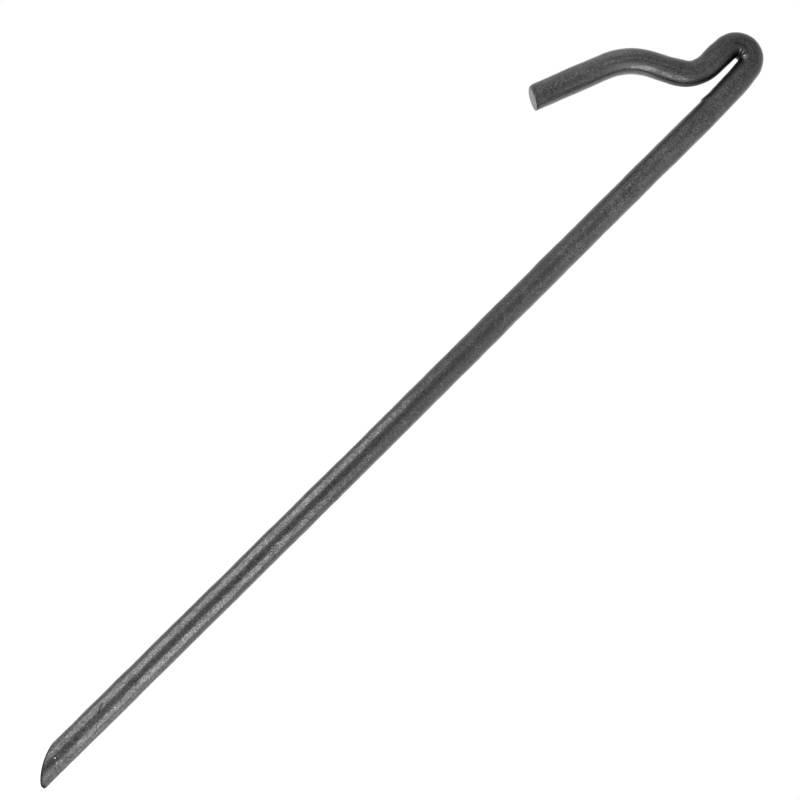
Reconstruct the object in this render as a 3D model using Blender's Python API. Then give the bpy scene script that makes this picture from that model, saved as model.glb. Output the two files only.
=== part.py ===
"""Hooked tent stake, bent from one length of solid round steel bar.

Frame, in metres: +Z runs up the straight shank, the origin is on the shank's
axis at the ground line of the driven stake, and the hook lies in the XZ plane
and reaches out towards -X.
"""
import math

import bmesh
import bpy
from mathutils import Vector

MM = 0.001

# The bar, and how far it reaches below and above the ground line.
BAR_DIAMETER = 8.0 * MM
BURIED_DEPTH = 251.0 * MM
HEAD_HEIGHT = 60.0 * MM

# The bends, in the order that the bar takes them from the top of the shank.
# Radii are those of the bar's centreline.
NECK_RADIUS = 370.0 * MM
NECK_TURN = math.radians(3.75)
CROWN_RADIUS = 4.6 * MM
CROWN_TURN = math.radians(176.0)
LEG_LENGTH = 6.5 * MM
ELBOW_RADIUS = 11.5 * MM
ELBOW_TURN = math.radians(61.0)
ARM_LENGTH = 7.6 * MM
KNEE_RADIUS = 20.7 * MM
KNEE_TURN = math.radians(41.0)
TOE_LENGTH = 24.1 * MM

# The two cuts: a slanting one that makes the point, and a shear cut at the toe,
# a little off square and longer on the shank's side.
POINT_ANGLE = math.radians(32.5)
POINT_BEARING = math.radians(-38.0)
POINT_WEAR = 0.2 * MM
SHEAR_SKEW = math.radians(8.0)
CUT_MARGIN = 2.0 * MM

# Fineness of the mesh.
SIDES = 32
NECK_STEPS = 3
CROWN_STEPS = 24
ELBOW_STEPS = 10
KNEE_STEPS = 8
SHARP_ANGLE = math.radians(30.0)

# The shank is straight up to where the neck starts to lean towards the hook.
BAR_RADIUS = BAR_DIAMETER / 2
NECK_RISE = (NECK_RADIUS - CROWN_RADIUS) * math.sin(NECK_TURN)
SHANK_TOP = HEAD_HEIGHT - BAR_RADIUS - CROWN_RADIUS - NECK_RISE


def remove_everything():
    for old in list(bpy.data.objects):
        bpy.data.objects.remove(old)


def direction(heading):
    """Unit vector in the hook's plane; heading 0 is +X and a quarter turn is +Z."""
    return Vector((math.cos(heading), 0.0, math.sin(heading)))


class Bend:
    """Follows the bar's centreline, keeping a (point, heading) pair for each ring."""

    def __init__(self, point, heading):
        self.stations = [(point, heading)]

    def straight(self, length):
        point, heading = self.stations[-1]
        self.stations.append((point + length * direction(heading), heading))

    def turn(self, radius, angle, steps):
        """Turns counter-clockwise in the XZ plane for a positive angle."""
        point, heading = self.stations[-1]
        side = math.copysign(1.0, angle)
        quarter = side * math.pi / 2
        centre = point + radius * direction(heading + quarter)
        for step in range(1, steps + 1):
            now = heading + angle * step / steps
            self.stations.append((centre - radius * direction(now + quarter), now))


def centreline():
    """Runs from below the point, up the shank and round the hook to the toe."""
    start = Vector((0.0, 0.0, -BURIED_DEPTH - CUT_MARGIN))
    bend = Bend(start, math.pi / 2)
    bend.straight(SHANK_TOP - start.z)
    bend.turn(NECK_RADIUS, NECK_TURN, NECK_STEPS)
    bend.turn(CROWN_RADIUS, CROWN_TURN, CROWN_STEPS)
    bend.straight(LEG_LENGTH)
    bend.turn(ELBOW_RADIUS, -ELBOW_TURN, ELBOW_STEPS)
    bend.straight(ARM_LENGTH)
    bend.turn(KNEE_RADIUS, KNEE_TURN, KNEE_STEPS)
    bend.straight(TOE_LENGTH)
    return bend.stations


def add_ring(mesh, point, heading, skew=0.0):
    """Adds one ring, square to the bar, or longer on the shank's side by a skew angle."""
    inward = direction(heading + math.pi / 2) + math.tan(skew) * direction(heading)
    across = Vector((0.0, 1.0, 0.0))
    ring = []
    for side in range(SIDES):
        angle = 2 * math.pi * side / SIDES
        spoke = math.cos(angle) * inward + math.sin(angle) * across
        ring.append(mesh.verts.new(point + BAR_RADIUS * spoke))
    return ring


def sweep_bar(mesh, stations):
    """Joins a ring at each station into one closed round bar, sheared off at the toe."""
    rings = [add_ring(mesh, point, heading) for point, heading in stations[:-1]]
    rings.append(add_ring(mesh, *stations[-1], skew=SHEAR_SKEW))
    for lower, upper in zip(rings, rings[1:]):
        for side in range(SIDES):
            after = (side + 1) % SIDES
            mesh.faces.new((lower[side], lower[after], upper[after], upper[side]))
    mesh.faces.new(reversed(rings[0]))
    mesh.faces.new(rings[-1])
    bmesh.ops.recalc_face_normals(mesh, faces=mesh.faces)


def cut_off(mesh, point, outward):
    """Cuts away what lies outward of a plane, and closes the cut with one flat face."""
    geometry = mesh.verts[:] + mesh.edges[:] + mesh.faces[:]
    bmesh.ops.bisect_plane(mesh, geom=geometry, plane_co=point, plane_no=outward, clear_outer=True)
    rim = [edge for edge in mesh.edges if edge.is_boundary]
    bmesh.ops.holes_fill(mesh, edges=rim, sides=0)


def cut_point(mesh):
    """Cuts the shank's lower end on a slant, and wears the sharp tip slightly flat."""
    bearing = Vector((math.cos(POINT_BEARING), math.sin(POINT_BEARING), 0.0))
    tip = BAR_RADIUS * bearing + Vector((0.0, 0.0, -BURIED_DEPTH - POINT_WEAR))
    slant = -math.cos(POINT_ANGLE) * bearing - Vector((0.0, 0.0, math.sin(POINT_ANGLE)))
    cut_off(mesh, tip, slant)
    cut_off(mesh, Vector((0.0, 0.0, -BURIED_DEPTH)), Vector((0.0, 0.0, -1.0)))


def steel_finish():
    finish = bpy.data.materials.new("dark_oxide_steel")
    finish.use_nodes = True
    shader = finish.node_tree.nodes["Principled BSDF"]
    shader.inputs["Base Color"].default_value = (0.075, 0.076, 0.078, 1.0)
    shader.inputs["Metallic"].default_value = 0.6
    shader.inputs["Roughness"].default_value = 0.5
    return finish


def build_bar():
    mesh = bmesh.new()
    sweep_bar(mesh, centreline())
    cut_point(mesh)
    bmesh.ops.recalc_face_normals(mesh, faces=mesh.faces)
    shape = bpy.data.meshes.new("bent_steel_bar")
    mesh.to_mesh(shape)
    mesh.free()
    shape.shade_smooth()
    shape.set_sharp_from_angle(angle=SHARP_ANGLE)
    shape.materials.append(steel_finish())
    bar = bpy.data.objects.new("bent_steel_bar", shape)
    bpy.context.scene.collection.objects.link(bar)


def main():
    remove_everything()
    build_bar()


main()
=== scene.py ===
"""Looks of the hooked tent stake: one bent, oxide-dark steel bar on a pale studio floor.

Everything is in metres, in the CAD part's frame: +Z runs up the shank, and the
hook reaches out towards -X. A place on the bar is given by how far along its
centreline it is, from the point to the toe, and by its angle round the bar.
Angle 0 is the side that faces the inside of the hook, a quarter turn is +Y and
three quarters of a turn is -Y, the side that the camera sees.
"""
import math

import bpy
import numpy as np
from mathutils import Matrix, Vector, noise


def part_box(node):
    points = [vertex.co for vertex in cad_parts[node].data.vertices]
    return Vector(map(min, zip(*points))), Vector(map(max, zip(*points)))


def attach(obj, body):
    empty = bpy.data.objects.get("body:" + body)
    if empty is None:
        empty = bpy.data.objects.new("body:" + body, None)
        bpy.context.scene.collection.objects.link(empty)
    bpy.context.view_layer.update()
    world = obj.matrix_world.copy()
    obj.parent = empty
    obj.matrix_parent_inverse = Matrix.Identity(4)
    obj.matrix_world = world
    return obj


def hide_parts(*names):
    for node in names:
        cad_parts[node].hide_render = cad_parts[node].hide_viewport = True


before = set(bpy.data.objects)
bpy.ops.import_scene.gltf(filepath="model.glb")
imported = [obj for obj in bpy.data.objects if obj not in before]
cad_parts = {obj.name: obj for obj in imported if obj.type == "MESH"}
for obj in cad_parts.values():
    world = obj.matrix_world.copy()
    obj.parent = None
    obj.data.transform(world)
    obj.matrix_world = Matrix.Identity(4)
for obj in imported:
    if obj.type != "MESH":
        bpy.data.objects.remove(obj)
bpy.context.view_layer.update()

MM = 0.001
CAD_NODE = "bent_steel_bar"
low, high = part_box(CAD_NODE)

# The bar, read from the frame.
BAR_RADIUS = high.x
POINT_Z = low.z
HEAD_Z = high.z

# The bends and cuts, as the CAD part has them.
NECK_RADIUS = 370.0 * MM
NECK_TURN = math.radians(3.75)
CROWN_RADIUS = 4.6 * MM
CROWN_TURN = math.radians(176.0)
LEG_LENGTH = 6.5 * MM
ELBOW_RADIUS = 11.5 * MM
ELBOW_TURN = math.radians(61.0)
ARM_LENGTH = 7.6 * MM
KNEE_RADIUS = 20.7 * MM
KNEE_TURN = math.radians(41.0)
TOE_LENGTH = 24.1 * MM
POINT_ANGLE = math.radians(32.5)
POINT_BEARING = math.radians(-38.0)
POINT_WEAR = 0.2 * MM
SHEAR_SKEW = math.radians(8.0)

# The sheared toe starts a little longer, and its worn edge takes that back.
BURR = 0.5 * MM

# How finely the surface is meshed.
SIDES = 108
SHANK_STEP = 0.65 * MM
END_STEP = 0.3 * MM
SCUFF_STEP = 0.8 * END_STEP
CROWN_STEP = 0.18 * MM
BEND_STEP = 0.32 * MM
NECK_STEP = 0.8 * BEND_STEP
KNEE_STEP = 1.2 * BEND_STEP
TOE_STEP = 1.5 * BEND_STEP
CAP_RINGS = 14
EDGE_RINGS = 5

# Zones at the two ends over which the rings lean into the slanting cuts.
POINT_ZONE = 24.0 * MM
TOE_ZONE = 6.0 * MM

# Stretches of the shank that need finer rings: one for a gouge, one for a scuff.
GOUGE_ZONE_END = 30.0 * MM
SCUFF_ZONE_START = 92.5 * MM
SCUFF_ZONE_END = 100.0 * MM

# The flat layout, in shares of its square; a strip's height is a share of its quarter.
STRIPS = 4
STRIP_GAP = 0.006
STRIP_WIDTH = 0.86
STRIP_HEIGHT = 0.96
DISC_RADIUS = 0.058
POINT_DISC = (0.935, 0.25)
TOE_DISC = (0.935, 0.75)

# Sides of the bar, as angles round it.
INSIDE = 0.0
BACK = math.pi / 2
OUTSIDE = math.pi
FRONT = 3 * math.pi / 2
POINT_SIDE = math.pi - POINT_BEARING

# The shear blade broke out on this side of the toe, where the edge stays sharpest.
BREAKOUT_SIDE = math.radians(35.0)

# Sides of the painted highlight streaks on the arm, as turns from the front or back, and of the painted
# shade patch that dims them near the knee, as a turn from the inside.
STREAK_TURN = 0.55
DULL_TURN = 1.0

# A small chip near the point, painted near-white as a glint. The radii of its core and its rim are in
# mm.
GLINT_CHIP_PLACE = 8.5 * MM
GLINT_CHIP_SIDE = math.radians(275.0)
GLINT_CHIP_CORE = 0.12
GLINT_CHIP_RIM = 0.22

# How far the shank wanders sideways, over what length, and where that fades out.
BOW_DEPTH = 0.12 * MM
BOW_LENGTH = 270.0 * MM
BOW_FADE_START = 255.0 * MM
BOW_FADE_LENGTH = 30.0 * MM

# The lip on the neck: where it starts and ends above the shank, and its slopes' lengths.
LIP_START = 6.5 * MM
LIP_END = 11.0 * MM
LIP_RISE = 0.7 * MM
LIP_FALL = 3.6 * MM
LIP_HEIGHT = 0.32 * MM
LIP_SIDE = INSIDE - 0.25
LIP_SPREAD = 0.5

# A slanting gouge above the point: its two ends, as (along, angle), and its size.
GOUGE_PATH = ((26.4 * MM, math.radians(281.0)), (28.8 * MM, math.radians(304.0)))
GOUGE_DEPTH = 0.07 * MM
GOUGE_WIDTH = 0.36 * MM

# A scuff further up: a row of short slanting hatches.
SCUFF_HATCHES = 4
SCUFF_START = 93.8 * MM
SCUFF_PITCH = 0.85 * MM
SCUFF_LENGTH = 2.2 * MM
SCUFF_SIDE = math.radians(251.0)
SCUFF_TURN = math.radians(5.0)
SCUFF_SLANT = math.radians(18.0)
SCUFF_DEPTH = 0.10 * MM
SCUFF_WIDTH = 0.22 * MM

# Creases on the back of the crown sit a little nearer the neck than those on the front.
BACK_SLIP = -1.4 * MM

# The skin's gentle waves: (size, height, seed of the noise).
SKIN_WAVES = ((9.0 * MM, 0.13 * MM, 1), (2.6 * MM, 0.05 * MM, 2), (1.1 * MM, 0.024 * MM, 3))

# Half sizes of the worn edges round the two cuts: (where sharpest, how much they grow from there).
POINT_EDGE = (0.10 * MM, 0.45 * MM)
TOE_EDGE_ALONG = (0.20 * MM, 2.0 * MM)
TOE_EDGE_ACROSS = (0.16 * MM, 1.5 * MM)

# The step between the sheared face's smooth band and its torn rest, placed in shares of the radius.
TORN_STEP = 0.10 * MM
TORN_FROM = -0.35
TORN_SLOPE = 0.12

# Greys of the finish, of its painted light, painted shade and painted glint, and how much blue each has
# for its red and green.
BLUE_SHARE = 0.985
OXIDE_DARK = 0.006
OXIDE_LIGHT = 0.078
FLECK_GREY = 0.11
PIT_GREY = 0.008
PAINTED_LIGHT_GREY = 0.14
PAINTED_SHADE_GREY = 0.004
STEEL_DARK = 0.08
STEEL_LIGHT = 0.19
GLINT_CHIP_GREY = 0.75

# Roughness of dark and of light oxide, and what rubbing, cutting and the painted shade change about it.
DARK_ROUGHNESS = 0.30
LIGHT_ROUGHNESS = 0.17
RUB_SMOOTHING = 0.13
CUT_ROUGHENING = 0.18
PAINTED_SHADE_ROUGHENING = 0.22

# How far the finest relief, which only bends the light, stands out.
RELIEF = 0.08 * MM

# The studio. The room's light is (axis, sign, strength) for each side that gives some.
FLOOR_HALF = 8.0
FLOOR_GREY = 0.80
FLOOR_GLOW = 0.45
ROOM_LIGHT = (("Y", 1.0, 0.63), ("X", 1.0, 1.13), ("X", -1.0, 0.50), ("Z", 1.0, 0.80))

# Soft lights: (name, azimuth in degrees, distance, width, bottom, top, brightness).
SOFT_LIGHTS = (
    ("left_box", -63, 0.232, 0.24, -0.250, -0.067, 4.9),
    ("right_box", 49, 0.257, 0.24, -0.250, -0.110, 5.7),
    ("front_fill", -3, 0.70, 1.6, 0.225, 0.310, 2.7),
    ("low_rim", 97, 0.25, 0.12, -0.250, -0.205, 3.2),
    ("right_fill", 66, 0.30, 0.30, 0.05, 0.20, 0.40),
    ("left_fill", -55, 0.30, 0.24, 0.03, 0.16, 0.40),
    ("upper_left", -68, 0.30, 0.32, 0.19, 0.42, 0.60),
)

# The camera: its lens and sensor in mm, how it is turned, and where it stands.
LENS = 122.48
SENSOR = 36.0
CAMERA_PITCH = math.radians(9.16)
CAMERA_ROLL = math.radians(45.27)
CAMERA_SIDEWAYS = -3.86 * MM
CAMERA_DISTANCE = 0.8
CAMERA_DROP = 285.991 * MM


# ---------------------------------------------------------------- centreline

def direction(heading):
    """Unit vectors in the hook's plane; heading 0 is +X and a quarter turn is +Z."""
    return np.stack([np.cos(heading), np.zeros_like(heading), np.sin(heading)], axis=-1)


class Centreline:
    """The bar's middle line, as named runs of constant curvature from the point to the toe."""

    def __init__(self):
        neck_rise = (NECK_RADIUS - CROWN_RADIUS) * math.sin(NECK_TURN)
        shank = HEAD_Z - BAR_RADIUS - CROWN_RADIUS - neck_rise - POINT_Z
        runs = [
            ("shank", shank, 0.0),
            ("neck", NECK_RADIUS * NECK_TURN, 1 / NECK_RADIUS),
            ("crown", CROWN_RADIUS * CROWN_TURN, 1 / CROWN_RADIUS),
            ("leg", LEG_LENGTH, 0.0),
            ("elbow", ELBOW_RADIUS * ELBOW_TURN, -1 / ELBOW_RADIUS),
            ("arm", ARM_LENGTH, 0.0),
            ("knee", KNEE_RADIUS * KNEE_TURN, 1 / KNEE_RADIUS),
            ("toe", TOE_LENGTH, 0.0),
        ]
        self.start = {}
        self.end = {}
        self.knots = []
        along, point, heading = 0.0, np.array([0.0, 0.0, POINT_Z]), np.array(math.pi / 2)
        for name, length, curvature in runs:
            self.start[name] = along
            self.knots.append((along, curvature, point, heading))
            point, heading = self.step(point, heading, curvature, np.array(length))
            along += length
            self.end[name] = along
        self.length = along

    @staticmethod
    def step(point, heading, curvature, reach):
        """Moves along a straight line or an arc, from one point and heading."""
        if curvature == 0:
            return point + reach[..., None] * direction(heading), heading + 0 * reach
        turned = heading + reach * curvature
        centre = point + direction(heading + math.pi / 2) / curvature
        return centre - direction(turned + math.pi / 2) / curvature, turned

    def at(self, along):
        """Points and headings at an array of distances along the bar."""
        points = np.zeros(along.shape + (3,))
        headings = np.zeros(along.shape)
        for start, curvature, point, heading in self.knots:
            here = (along >= start) | (start == 0)
            moved, turned = self.step(point, heading, curvature, along - start)
            points[here] = moved[here]
            headings[here] = turned[here]
        return points, headings


# ---------------------------------------------------- the bar's real, worked shape

def bell(distance, width):
    """1 at no distance, fading off smoothly on both sides."""
    return np.exp(-((distance / width) ** 2))


def ramp(along, start, length):
    """Rises from 0 to 1 over a length of the bar."""
    return np.clip((along - start) / length, 0, 1)


def around(angle, centre):
    """The shortest way round the bar from a centre angle, in radians."""
    return (angle - centre + math.pi) % (2 * math.pi) - math.pi


def patch(along, angle, place, side, length, spread):
    """1 in the middle of an oval patch of the bar's skin, fading off along and round the bar."""
    return bell(along - place, length) * bell(around(angle, side), spread)


def straight_bar(along, angle, reach):
    """Places on the bar as if it were never bent, for noise that follows the bends."""
    across = reach * BAR_RADIUS
    return np.stack([across * np.cos(angle), across * np.sin(angle), along + 0 * angle], axis=-1)


def clouds(places, size, seed):
    """Smooth repeatable noise between about -1 and 1, with features of one size."""
    shift = Vector((seed * 7.3, seed * 3.1, seed * 5.7))
    flat = places.reshape(-1, 3) / size
    values = [noise.noise(Vector(place) + shift) for place in flat]
    return np.array(values).reshape(places.shape[:-1])


def bow(along):
    """A rolled bar is never quite straight: how far the shank wanders towards +X."""
    wander = -BOW_DEPTH * np.cos(2 * math.pi * along / BOW_LENGTH)
    return wander * (1 - ramp(along, BOW_FADE_START, BOW_FADE_LENGTH))


def swellings(line):
    """Where bending, shearing and handling pushed the steel out or in.

    Each is (along the bar, round the bar, half length, half spread, height).
    """
    crown = line.start["crown"]
    leg = line.start["leg"]
    elbow = line.start["elbow"]
    arm = line.start["arm"]
    return [
        # The stretched outer side of the crown is thin where it starts, and a little full on top.
        (crown + 1.0 * MM, OUTSIDE, 3.6 * MM, 0.8, -0.30 * MM),
        (crown + 7.5 * MM, OUTSIDE, 4.0 * MM, 0.8, 0.06 * MM),
        # The squeezed inner side is pushed out to the front and the back.
        (crown + 7.0 * MM, FRONT + 0.5, 4.5 * MM, 0.45, 0.10 * MM),
        (crown + 7.0 * MM, BACK - 0.5, 4.5 * MM, 0.45, 0.10 * MM),
        # The inner side of the elbow swells before and after its pinched corner.
        (leg + 3.6 * MM, OUTSIDE, 3.2 * MM, 0.8, 0.20 * MM),
        (elbow + 6.2 * MM, OUTSIDE, 1.7 * MM, 0.9, -0.16 * MM),
        (arm - 0.8 * MM, OUTSIDE, 2.4 * MM, 0.8, 0.27 * MM),
        # The arm is a little full underneath.
        (arm + 2.0 * MM, INSIDE, 5.0 * MM, 0.9, 0.13 * MM),
    ]


def stroke(along, angle, path, width):
    """1 on a line drawn on the bar through (along, angle) places, fading off to its sides."""
    nearest = np.full(np.broadcast(along, angle).shape, np.inf)
    for (along_a, angle_a), (along_b, angle_b) in zip(path, path[1:]):
        step = np.array([along_b - along_a, (angle_b - angle_a) * BAR_RADIUS])
        off_along = along - along_a
        off_round = around(angle, angle_a) * BAR_RADIUS
        share = np.clip((off_along * step[0] + off_round * step[1]) / (step @ step), 0, 1)
        gap = np.hypot(off_along - share * step[0], off_round - share * step[1])
        nearest = np.minimum(nearest, gap)
    return bell(nearest, width)


def puckers(line, along, angle, facing, slip):
    """Creases and small bulges in the steel squeezed inside the crown, on one of its sides.

    facing is +1 for the back, where angles grow away from the inside, and -1 for the front.
    """
    start = line.start["crown"] + slip

    def spot(along_mm, degrees):
        return start + along_mm * MM, facing * math.radians(degrees)

    # Each is (places that it runs through, half width, height), with creases below 0.
    marks = [
        ([spot(11.3, 89), spot(8.2, 83), spot(6.4, 78), spot(5.5, 66)], 0.50 * MM, -0.19 * MM),
        ([spot(8.5, 66), spot(8.2, 46)], 0.36 * MM, -0.20 * MM),
        ([spot(6.2, 62), spot(6.5, 48)], 0.45 * MM, -0.15 * MM),
        ([spot(10.6, 64), spot(10.0, 48)], 0.42 * MM, -0.12 * MM),
        ([spot(9.3, 55), spot(9.5, 55)], 0.65 * MM, 0.22 * MM),
        ([spot(7.4, 51), spot(7.6, 51)], 0.55 * MM, 0.24 * MM),
        ([spot(4.8, 50), spot(5.0, 50)], 1.10 * MM, 0.18 * MM),
    ]
    return sum(height * stroke(along, angle, path, width) for path, width, height in marks)


def creases(line, along, angle):
    """The puckers on both sides of the crown."""
    front = puckers(line, along, angle, -1, 0.0)
    return front + puckers(line, along, angle, 1, BACK_SLIP)


def tool_lip(line, along, angle):
    """A small lip that the bending tool raised on the neck, steep on its lower side."""
    rise = (along - line.start["neck"] - LIP_START) / LIP_RISE
    fall = (line.start["neck"] + LIP_END - along) / LIP_FALL
    profile = np.clip(np.minimum(rise, fall), 0, 1)
    smooth = profile * profile * (3 - 2 * profile)
    return LIP_HEIGHT * smooth * bell(around(angle, LIP_SIDE), LIP_SPREAD)


def gouge(along, angle):
    """1 along the bottom of a slanting gouge above the point."""
    return stroke(along, angle, GOUGE_PATH, GOUGE_WIDTH)


def nicks(along, angle):
    """The gouge above the point, and a scuffed patch further up."""
    scuff = 0
    for hatch in range(SCUFF_HATCHES):
        start = SCUFF_START + SCUFF_PITCH * hatch
        side = SCUFF_SIDE + SCUFF_TURN * hatch
        path = [(start, side), (start + SCUFF_LENGTH, side - SCUFF_SLANT)]
        scuff = scuff + stroke(along, angle, path, SCUFF_WIDTH)
    return -GOUGE_DEPTH * gouge(along, angle) - SCUFF_DEPTH * scuff


def surface_offset(line, along, angle):
    """How far the real surface stands outside a perfect round bar."""
    offset = tool_lip(line, along, angle) + nicks(along, angle) + creases(line, along, angle)
    for place, side, length, spread, height in swellings(line):
        offset += height * patch(along, angle, place, side, length, spread)
    places = straight_bar(along, angle, 1.0)
    for size, height, seed in SKIN_WAVES:
        offset += height * clouds(places, size, seed)
    return offset


# ---------------------------------------------------------------- the two cuts

def point_cut(angle, reach):
    """How far along the bar the slanting cut lies, at a reach from 0 (axis) to 1 (surface)."""
    height = BAR_RADIUS * (1 - reach * np.cos(angle - POINT_SIDE)) / math.tan(POINT_ANGLE)
    return np.maximum(height - POINT_WEAR, 0)


def toe_cut(line, angle, reach):
    """The sheared toe: skewed, with a smooth burnished band and a rougher torn rest."""
    across = reach * np.cos(angle)
    skew = BAR_RADIUS * across * math.tan(SHEAR_SKEW)
    step = TORN_STEP * np.tanh((across - TORN_FROM) / TORN_SLOPE)
    return line.length + BURR + skew + step * (1 - reach ** 4)


def edge_size(sizes, share):
    """Half size of a worn edge, by how far it is on the way to its roundest side."""
    least, growth = sizes
    return least + growth * share


def point_edge(angle):
    """Half size of the worn edge round the slanting cut: (along the bar, across it)."""
    heel = (1 - np.cos(angle - POINT_SIDE)) / 2
    size = edge_size(POINT_EDGE, heel ** 2)
    return size, size


def toe_edge(angle):
    """Half size of the toe's edge, rolled over where the shear blade went in."""
    entry = (1 - np.cos(angle - BREAKOUT_SIDE)) / 2
    share = entry ** 4
    return edge_size(TOE_EDGE_ALONG, share), edge_size(TOE_EDGE_ACROSS, share)


def end_rings(angle, cut, edge, away):
    """Rings from the middle of an end face, round its worn edge, to the bar's wall.

    Each is (distance along the bar, reach across, how bare the steel is); away is
    +1 where the bar runs on from the cut, and -1 where it ends there.
    """
    along_size, across_size = edge(angle)
    rim = 1 - across_size / BAR_RADIUS
    rings = []
    for ring in range(1, CAP_RINGS + 1):
        reach = rim * ring / CAP_RINGS
        rings.append((cut(angle, reach), reach, 1.0))
    face = cut(angle, rim)
    corner = cut(angle, np.ones_like(angle))
    wall = corner + away * along_size
    for ring in range(1, EDGE_RINGS + 1):
        blend = ring / EDGE_RINGS
        along = (1 - blend) ** 2 * face + 2 * blend * (1 - blend) * corner + blend ** 2 * wall
        reach = (1 - blend) ** 2 * rim + 2 * blend * (1 - blend) + blend ** 2
        rings.append((along, reach, 0.0))
    return rings


# ---------------------------------------------------------------- the mesh

def wall_stations(line):
    """Distances along the bar between the two end zones, closest where the shape is tightest."""
    stops = [
        (POINT_ZONE, GOUGE_ZONE_END, END_STEP),
        (GOUGE_ZONE_END, SCUFF_ZONE_START, SHANK_STEP),
        (SCUFF_ZONE_START, SCUFF_ZONE_END, SCUFF_STEP),
        (SCUFF_ZONE_END, line.end["shank"], SHANK_STEP),
        (line.start["neck"], line.end["neck"], NECK_STEP),
        (line.start["crown"], line.end["crown"], CROWN_STEP),
        (line.start["leg"], line.end["arm"], BEND_STEP),
        (line.start["knee"], line.end["knee"], KNEE_STEP),
        (line.start["toe"], line.length - TOE_ZONE, TOE_STEP),
    ]
    runs = [np.linspace(a, b, int((b - a) / step) + 1)[:-1] for a, b, step in stops]
    return np.concatenate(runs)


def bar_rings(line, angle):
    """Every ring of the bar in order, as (distance along, reach across, bareness) for each side."""
    full = np.ones(SIDES)
    rings = end_rings(angle, point_cut, point_edge, 1)
    foot = rings[-1][0]
    for blend in np.linspace(0, 1, int(POINT_ZONE / END_STEP))[1:-1]:
        rings.append((foot + (POINT_ZONE - foot) * blend, full, 0.0))
    for along in wall_stations(line):
        rings.append((along * full, full, 0.0))
    toe_rings = end_rings(angle, lambda a, r: toe_cut(line, a, r), toe_edge, -1)
    brink = toe_rings[-1][0]
    zone = line.length - TOE_ZONE
    for blend in np.linspace(0, 1, int(TOE_ZONE / END_STEP))[:-1]:
        rings.append((zone + (brink - zone) * blend, full, 0.0))
    rings.extend(reversed(toe_rings))
    return tuple(np.array([ring[part] * full for ring in rings]) for part in range(3))


def place_surface(line, along, angle, reach):
    """World positions of places on and inside the bar's real surface."""
    points, headings = line.at(along)
    inward = direction(headings + math.pi / 2)
    across = np.array([0.0, 1.0, 0.0])
    spokes = np.cos(angle)[..., None] * inward + np.sin(angle)[..., None] * across
    radius = BAR_RADIUS + surface_offset(line, along, angle)
    points[..., 0] += bow(along)
    return points + (reach * radius)[..., None] * spokes


def add_attribute(mesh, name, kind, values):
    layer = mesh.attributes.new(name, kind, "POINT")
    field = "vector" if kind == "FLOAT_VECTOR" else "value"
    layer.data.foreach_set(field, values.astype(np.float32).ravel())


def grid_faces(rings):
    """Quads between the rings, then fans of triangles to the middle of each end."""
    index = np.arange(rings * SIDES).reshape(rings, SIDES)
    after = np.roll(index, -1, axis=1)
    quads = np.stack([index[:-1], index[1:], after[1:], after[:-1]], axis=-1).reshape(-1, 4)
    first, last = rings * SIDES, rings * SIDES + 1
    faces = quads.tolist()
    faces += [(first, index[0, side], after[0, side]) for side in range(SIDES)]
    faces += [(last, after[-1, side], index[-1, side]) for side in range(SIDES)]
    return faces


def lay_flat(mesh, along):
    """Gives the mesh a flat layout: the wall in four strips, and each end as a disc beside them."""
    rings = len(along)
    ends = CAP_RINGS + EDGE_RINGS
    row = np.arange(rings - 1)[:, None]
    quarter = along.max() / STRIPS
    strip = np.clip(along[:-1].mean(axis=1) // quarter, 0, STRIPS - 1)[:, None]
    at_point = row < ends - 1
    at_toe = row >= rings - ends

    def disc(ring, column, centre, hand):
        turn = hand * 2 * math.pi * column / SIDES
        size = DISC_RADIUS * ring / ends
        return centre[0] + size * np.cos(turn), centre[1] + size * np.sin(turn)

    quads = np.zeros((rings - 1, SIDES, 4, 2))
    for corner, (down, over) in enumerate(((0, 0), (1, 0), (1, 1), (0, 1))):
        ring = row + down
        column = np.arange(SIDES)[None, :] + over
        here = along[ring, column % SIDES]
        across = (here - strip * quarter) / (quarter + SHANK_STEP)
        rise = strip + 0.5 + STRIP_HEIGHT * (column / SIDES - 0.5)
        wall = (STRIP_GAP + STRIP_WIDTH * across, rise / STRIPS)
        point = disc(ring + 1, column, POINT_DISC, 1)
        toe = disc(rings - ring, column, TOE_DISC, -1)
        for part in range(2):
            beyond = np.where(at_toe, toe[part], wall[part])
            quads[:, :, corner, part] = np.where(at_point, point[part], beyond)
    column = np.arange(SIDES)
    fans = []
    for centre, hand, turns in ((POINT_DISC, 1, (0, 1)), (TOE_DISC, -1, (1, 0))):
        fan = np.zeros((SIDES, 3, 2))
        fan[:, 0] = centre
        for corner, over in enumerate(turns):
            fan[:, corner + 1] = np.stack(disc(1, column + over, centre, hand), axis=-1)
        fans.append(fan.reshape(-1, 2))
    layout = np.concatenate([quads.reshape(-1, 2)] + fans)
    mesh.uv_layers.new(name="OFBake").data.foreach_set("uv", layout.astype(np.float32).ravel())


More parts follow.
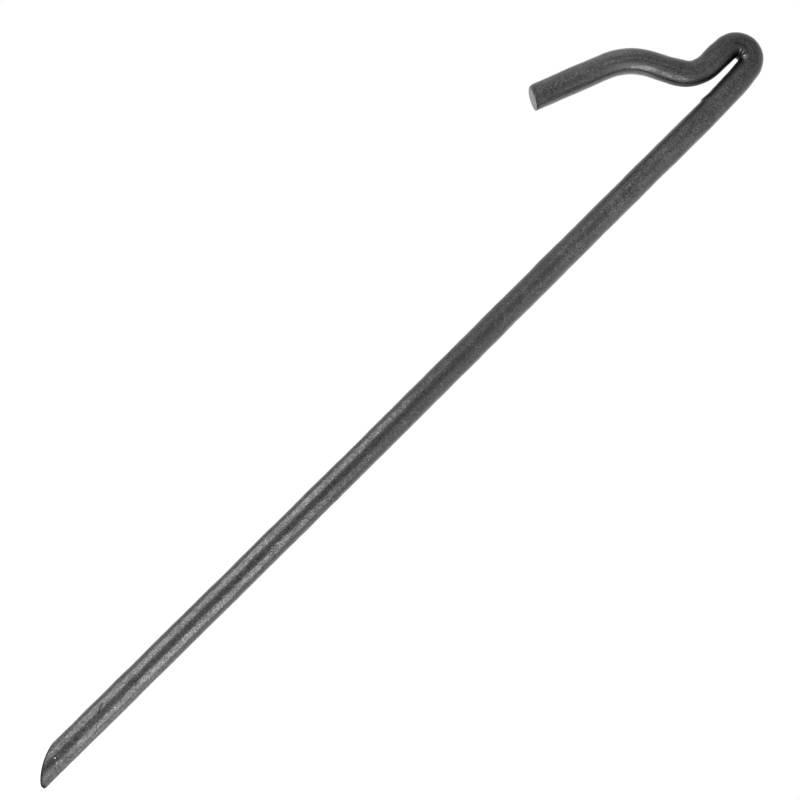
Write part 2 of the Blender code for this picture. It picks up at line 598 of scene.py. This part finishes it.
def build_bar():
    line = Centreline()
    turn = 2 * math.pi * np.arange(SIDES) / SIDES
    along, reach, bareness = bar_rings(line, turn)
    angle = np.broadcast_to(turn, along.shape)
    rings = len(along)
    surface = place_surface(line, along, angle, reach)
    middles = np.stack([surface[0].mean(axis=0), surface[-1].mean(axis=0)])
    vertices = np.concatenate([surface.reshape(-1, 3), middles])
    mesh = bpy.data.meshes.new("hooked_bar")
    mesh.from_pydata(vertices.tolist(), [], grid_faces(rings))
    mesh.update()
    mesh.shade_smooth()
    bar = bpy.data.objects.new("hooked_bar", mesh)
    bpy.context.scene.collection.objects.link(bar)

    # Each attribute ends with the values of the two middles. The straight bar is in mm.
    ends = [[0, 0, along[0].mean()], [0, 0, along[-1].mean()]]
    straight = np.concatenate([straight_bar(along, angle, reach).reshape(-1, 3), ends]) / MM
    add_attribute(mesh, "straight_bar", "FLOAT_VECTOR", straight)
    lay_flat(mesh, along)
    skin = 1 - bareness
    add_attribute(mesh, "bare", "FLOAT", np.append(bareness, [1, 1]))
    # The masks of painted shade and of painted light with smoother skin stay off the bare cuts.
    add_attribute(mesh, "painted_shade", "FLOAT", np.append(painted_shade(line, along, angle) * skin, [0, 0]))
    add_attribute(mesh, "polish_and_painted_light", "FLOAT", np.append(polish_and_painted_light(line, along, angle) * skin, [0, 0]))
    return bar


def crown_painted_shade(line, along, angle):
    """Painted shade in the crotch of the crown and under the elbow, and a fainter darkening round the
    crown.
    """
    crotch = line.start["crown"] + 0.5 * CROWN_RADIUS * CROWN_TURN
    onto_leg = np.clip((along - crotch) / (7 * MM) + 0.3, 0, 1)
    inside = patch(along, angle, crotch, INSIDE, 15 * MM, 0.68 + 0.5 * onto_leg)
    under_elbow = patch(along, angle, line.start["elbow"] + 6 * MM, INSIDE, 8 * MM, 0.7)
    crown_darkening = bell(along - crotch, np.where(along < crotch, 36 * MM, 22 * MM))
    return 1.15 * inside + 0.8 * under_elbow + 0.27 * crown_darkening


def arm_painted_shade(line, along, angle):
    """Painted shade: a thin dark line along the lower brink of the arm and toe, and a patch above it
    that dims the highlight there.
    """
    knee = line.start["knee"]
    toe = line.start["toe"]
    # Each is (along the bar, degrees from the inside).
    brink = [
        (line.end["elbow"] - 1.0 * MM, 28),
        (knee - 1.9 * MM, 30),
        (knee + 0.6 * MM, 34),
        (knee + 5.9 * MM, 43),
        (knee + 14.8 * MM, 44),
        (toe + 10.0 * MM, 46),
        (line.length - 3.0 * MM, 52),
    ]
    painted_dark = 0
    for facing in (-1, 1):
        path = [(place, facing * math.radians(turn)) for place, turn in brink]
        painted_dark = painted_dark + 0.75 * stroke(along, angle, path, 0.34 * MM)
        painted_dark = painted_dark + 0.25 * patch(along, angle, knee + 1.5 * MM, facing * DULL_TURN, 4 * MM, 0.4)
    return painted_dark


def cut_rim_shade(line, along, angle):
    """Painted shade: a narrow dark band on the wall next to each of the two cuts."""
    heel = bell(along - point_cut(angle, 1.0), 1.2 * MM) * (along < POINT_ZONE)
    brink = bell(along - toe_cut(line, angle, 1.0), 0.9 * MM)
    return heel + 0.8 * brink


def painted_shade(line, along, angle):
    """Up to 1 where shade is painted, also in the creases and the gouge; the crown's raised spots stay
    unshaded.
    """
    relief = creases(line, along, angle)
    creased = np.clip(-relief / (0.16 * MM), 0, 1)
    raised = np.clip(relief / (0.12 * MM), 0, 1)
    painted_dark = crown_painted_shade(line, along, angle) + arm_painted_shade(line, along, angle)
    painted_dark += cut_rim_shade(line, along, angle) + 0.3 * creased + 0.88 * gouge(along, angle)
    return np.clip(painted_dark * (1 - raised), 0, 1)


def polish_and_painted_light(line, along, angle):
    """Up to 1 where the skin is smoother and lighter: painted highlights, glints and painted light."""
    knee = line.start["knee"]
    streaks = [FRONT + STREAK_TURN, BACK - STREAK_TURN]
    # Painted highlights along the arm's streaks, painted glints on the crown's raised spots, and
    # painted light on the upper shank, on top of the elbow and under the knee and toe; all of these
    # also smooth the skin.
    streak_highlight = sum(patch(along, angle, knee + 8.4 * MM, side, 7 * MM, 0.35) for side in streaks)
    raised = np.clip(creases(line, along, angle) / (0.14 * MM) - 0.2, 0, 1)
    upper_shank_light = bell(along - 0.78 * line.end["shank"], 52 * MM)
    above = ramp(along, line.end["elbow"] - 3 * MM, 6 * MM) * bell(around(angle, OUTSIDE), 1.15)
    under = ramp(along, knee - 4 * MM, 5 * MM) * bell(around(angle, INSIDE), 0.6)
    return np.clip(0.56 * streak_highlight + raised + 0.17 * upper_shank_light + 0.58 * above + 0.7 * under, 0, 1)


# ---------------------------------------------------------------- materials

class Nodes:
    """Builds a material's node tree with one short call for each node."""

    def __init__(self, name):
        self.material = bpy.data.materials.new(name)
        self.material.use_nodes = True
        self.tree = self.material.node_tree
        self.shader = self.tree.nodes["Principled BSDF"]

    def plug(self, socket, value):
        if isinstance(value, bpy.types.NodeSocket):
            self.tree.links.new(value, socket)
        else:
            socket.default_value = value

    def add(self, kind, output, inputs, **settings):
        node = self.tree.nodes.new(kind)
        for name, value in settings.items():
            setattr(node, name, value)
        for name, value in inputs.items():
            self.plug(node.inputs[name], value)
        return node.outputs[output]

    def math(self, operation, first, second):
        return self.add("ShaderNodeMath", 0, {0: first, 1: second}, operation=operation)

    def noise(self, vector, scale, detail, roughness):
        inputs = {"Vector": vector, "Scale": scale, "Detail": detail, "Roughness": roughness}
        return self.add("ShaderNodeTexNoise", 0, inputs)

    def spread(self, value, low_in, high_in, low_out=0.0, high_out=1.0):
        inputs = {0: value, 1: low_in, 2: high_in, 3: low_out, 4: high_out}
        return self.add("ShaderNodeMapRange", 0, inputs)

    def mix(self, factor, first, second):
        inputs = {0: factor, 6: first, 7: second}
        return self.add("ShaderNodeMix", 2, inputs, data_type="RGBA")

    def attribute(self, name, output):
        return self.add("ShaderNodeAttribute", output, {}, attribute_name=name)

    def stretch(self, vector, scale):
        return self.add("ShaderNodeMapping", 0, {"Vector": vector, "Scale": scale})


def grey(value):
    return (value, value, value * BLUE_SHARE, 1.0)


def painted_glint_chip(build, place):
    """1 on the small chip near the point, which is painted near-white as a glint."""
    centre = straight_bar(np.array(GLINT_CHIP_PLACE), np.array(GLINT_CHIP_SIDE), 1.0) / MM
    inputs = {0: place, 1: centre.tolist()}
    gap = build.add("ShaderNodeVectorMath", "Value", inputs, operation="DISTANCE")
    return build.spread(gap, GLINT_CHIP_RIM, GLINT_CHIP_CORE)


def oxide_steel():
    """Thin dark oxide on rolled steel, speckled, with bare grey steel on the cuts, and with painted
    shade, painted light and a painted glint.
    """
    build = Nodes("oxide_steel")
    place = build.attribute("straight_bar", "Vector")
    bare = build.attribute("bare", "Fac")
    painted_dark = build.attribute("painted_shade", "Fac")
    polish_and_light = build.attribute("polish_and_painted_light", "Fac")
    glint_chip = painted_glint_chip(build, place)

    # Noise of several sizes: round grains, wide patches and streaks left by rolling.
    grain = build.noise(place, 1.1, 3.0, 0.62)
    pepper = build.noise(place, 2.7, 2.0, 0.6)
    patches = build.noise(place, 0.11, 4.0, 0.6)
    rolled = build.noise(build.stretch(place, (1.0, 1.0, 0.12)), 1.3, 4.0, 0.70)
    torn = build.noise(build.stretch(place, (0.5, 5.0, 1.0)), 1.6, 4.0, 0.7)
    pits = build.spread(build.noise(place, 2.1, 2.0, 0.5), 0.57, 0.65)
    specks = build.noise(build.stretch(place, (1.0, 1.0, 0.7)), 2.3, 2.0, 0.5)
    flecks = build.spread(specks, 0.58, 0.72)

    shade = build.math("MULTIPLY", grain, 0.28)
    for layer, share in ((patches, 0.17), (pepper, 0.30), (rolled, 0.25)):
        shade = build.math("ADD", shade, build.math("MULTIPLY", layer, share))
    shade = build.spread(shade, 0.43, 0.57)

    # Where it is partial, the painted light is patchy: the dark grains get less of it.
    uneven = build.spread(shade, 0.0, 1.0, -0.4, 0.4)
    patchy = build.math("MULTIPLY", build.math("SUBTRACT", 1.0, polish_and_light), uneven)
    polish_and_light = build.math("MULTIPLY", polish_and_light, build.math("ADD", patchy, 1.0))

    colour = build.mix(shade, grey(OXIDE_DARK), grey(OXIDE_LIGHT))
    colour = build.mix(flecks, colour, grey(FLECK_GREY))
    colour = build.mix(build.math("MULTIPLY", pits, 0.8), colour, grey(PIT_GREY))
    # Painted light: lighter grey where the skin is smoother.
    colour = build.mix(build.math("MULTIPLY", polish_and_light, 0.7), colour, grey(PAINTED_LIGHT_GREY))
    # Painted shade: near black in the crown's crotch and creases, under the elbow, along the arm's
    # brink, beside the cuts and in the gouge.
    colour = build.mix(build.math("MULTIPLY", painted_dark, 0.9), colour, grey(PAINTED_SHADE_GREY))
    steel = build.mix(build.spread(torn, 0.35, 0.68), grey(STEEL_DARK), grey(STEEL_LIGHT))
    colour = build.mix(bare, colour, steel)
    # Painted glint: near white on the small chip by the point.
    build.plug(build.shader.inputs["Base Color"], build.mix(glint_chip, colour, grey(GLINT_CHIP_GREY)))

    rough = build.spread(shade, 0.0, 1.0, DARK_ROUGHNESS, LIGHT_ROUGHNESS)
    rough = build.math("SUBTRACT", rough, build.math("MULTIPLY", polish_and_light, RUB_SMOOTHING))
    cut = build.math("ADD", bare, glint_chip)
    rough = build.math("ADD", rough, build.math("MULTIPLY", cut, CUT_ROUGHENING))
    rough = build.math("ADD", rough, build.math("MULTIPLY", painted_dark, PAINTED_SHADE_ROUGHENING))
    build.plug(build.shader.inputs["Roughness"], rough)

    metal = build.spread(shade, 0.0, 1.0, 0.25, 0.80)
    metal = build.math("ADD", metal, build.math("MULTIPLY", flecks, 0.2))
    metal = build.math("MAXIMUM", metal, build.math("MAXIMUM", glint_chip, build.math("MULTIPLY", bare, 0.7)))
    # The painted shade also makes the surface metallic, so its near-black colour reflects little.
    build.plug(build.shader.inputs["Metallic"], build.math("MAXIMUM", metal, painted_dark))
    build.shader.inputs["IOR"].default_value = 1.5

    height = build.math("ADD", grain, build.math("MULTIPLY", rolled, 0.3))
    height = build.math("SUBTRACT", height, build.math("MULTIPLY", pits, 0.12))
    height = build.math("ADD", height, build.math("MULTIPLY", build.math("MULTIPLY", torn, bare), 1.2))
    strength = build.spread(polish_and_light, 0.0, 1.0, 1.0, 0.2)
    inputs = {"Height": height, "Strength": strength, "Distance": RELIEF}
    build.plug(build.shader.inputs["Normal"], build.add("ShaderNodeBump", 0, inputs))
    return build.material


# ---------------------------------------------------------------- the studio

def lay_floor():
    """A wide pale floor at the stake's point, faintly lit from within like a light table."""
    signs = ((-1, -1), (1, -1), (1, 1), (-1, 1))
    corners = [(x * FLOOR_HALF, y * FLOOR_HALF, POINT_Z) for x, y in signs]
    mesh = bpy.data.meshes.new("floor")
    mesh.from_pydata(corners, [], [(0, 1, 2, 3)])
    floor = bpy.data.objects.new("floor", mesh)
    bpy.context.scene.collection.objects.link(floor)
    build = Nodes("pale_floor")
    build.shader.inputs["Base Color"].default_value = (FLOOR_GREY, FLOOR_GREY, FLOOR_GREY, 1.0)
    build.shader.inputs["Roughness"].default_value = 1.0
    build.shader.inputs["Specular IOR Level"].default_value = 0.0
    build.shader.inputs["Emission Color"].default_value = (1.0, 1.0, 1.0, 1.0)
    build.shader.inputs["Emission Strength"].default_value = FLOOR_GLOW
    mesh.materials.append(build.material)


def light_world():
    """A studio that is dark in front and lighter to the sides, above and behind.

    The camera itself sees a plain white backdrop.
    """
    world = bpy.data.worlds.new("studio")
    bpy.context.scene.world = world
    world.use_nodes = True
    tree = world.node_tree
    nodes, links = tree.nodes, tree.links

    def math_node(operation, first, second):
        node = nodes.new("ShaderNodeMath")
        node.operation = operation
        for socket, value in zip(node.inputs, (first, second)):
            if isinstance(value, float):
                socket.default_value = value
            else:
                links.new(value, socket)
        return node.outputs[0]

    place = nodes.new("ShaderNodeTexCoord")
    split = nodes.new("ShaderNodeSeparateXYZ")
    links.new(place.outputs["Generated"], split.inputs[0])
    light = 0.0
    for axis, sign, strength in ROOM_LIGHT:
        facing = math_node("MAXIMUM", math_node("MULTIPLY", split.outputs[axis], sign), 0.0)
        light = math_node("ADD", math_node("MULTIPLY", facing, strength), light)

    backdrop = nodes["Background"]
    backdrop.inputs["Color"].default_value = (1.0, 1.0, 1.0, 1.0)
    room = nodes.new("ShaderNodeBackground")
    room.inputs["Color"].default_value = (1.0, 1.0, 1.0, 1.0)
    links.new(light, room.inputs["Strength"])
    path = nodes.new("ShaderNodeLightPath")
    mix = nodes.new("ShaderNodeMixShader")
    links.new(path.outputs["Is Camera Ray"], mix.inputs[0])
    links.new(room.outputs[0], mix.inputs[1])
    links.new(backdrop.outputs[0], mix.inputs[2])
    links.new(mix.outputs[0], nodes["World Output"].inputs[0])


def soft_box(name, azimuth, distance, width, bottom, top, brightness):
    """An upright soft light that faces the shank. Azimuth 0 is -Y, the camera's side."""
    data = bpy.data.lights.new(name, "AREA")
    data.shape = "RECTANGLE"
    data.size = width
    data.size_y = top - bottom
    data.energy = brightness * math.pi * data.size * data.size_y
    lamp = bpy.data.objects.new(name, data)
    bpy.context.scene.collection.objects.link(lamp)
    turn = math.radians(azimuth)
    lamp.location = (distance * math.sin(turn), -distance * math.cos(turn), (top + bottom) / 2)
    lamp.rotation_euler = (math.pi / 2, 0.0, turn)
    lamp.visible_camera = False


def stand_camera():
    """Looks a little upwards at the stake, from near the floor, rolled to lay it on the diagonal."""
    data = bpy.data.cameras.new("camera")
    data.lens = LENS
    data.sensor_width = SENSOR
    data.clip_start = 0.01
    data.clip_end = 50.0
    camera = bpy.data.objects.new("camera", data)
    bpy.context.scene.collection.objects.link(camera)
    turn = Matrix.Rotation(math.pi / 2 + CAMERA_PITCH, 4, "X") @ Matrix.Rotation(CAMERA_ROLL, 4, "Z")
    place = (CAMERA_SIDEWAYS, -CAMERA_DISTANCE, HEAD_Z - CAMERA_DROP)
    camera.matrix_world = Matrix.Translation(place) @ turn
    bpy.context.scene.camera = camera


stand_camera()
bar = build_bar()
bar.data.materials.append(oxide_steel())
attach(bar, "root")
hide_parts(CAD_NODE)

lay_floor()
light_world()
for light in SOFT_LIGHTS:
    soft_box(*light)
bpy.context.scene.view_settings.view_transform = "Standard"
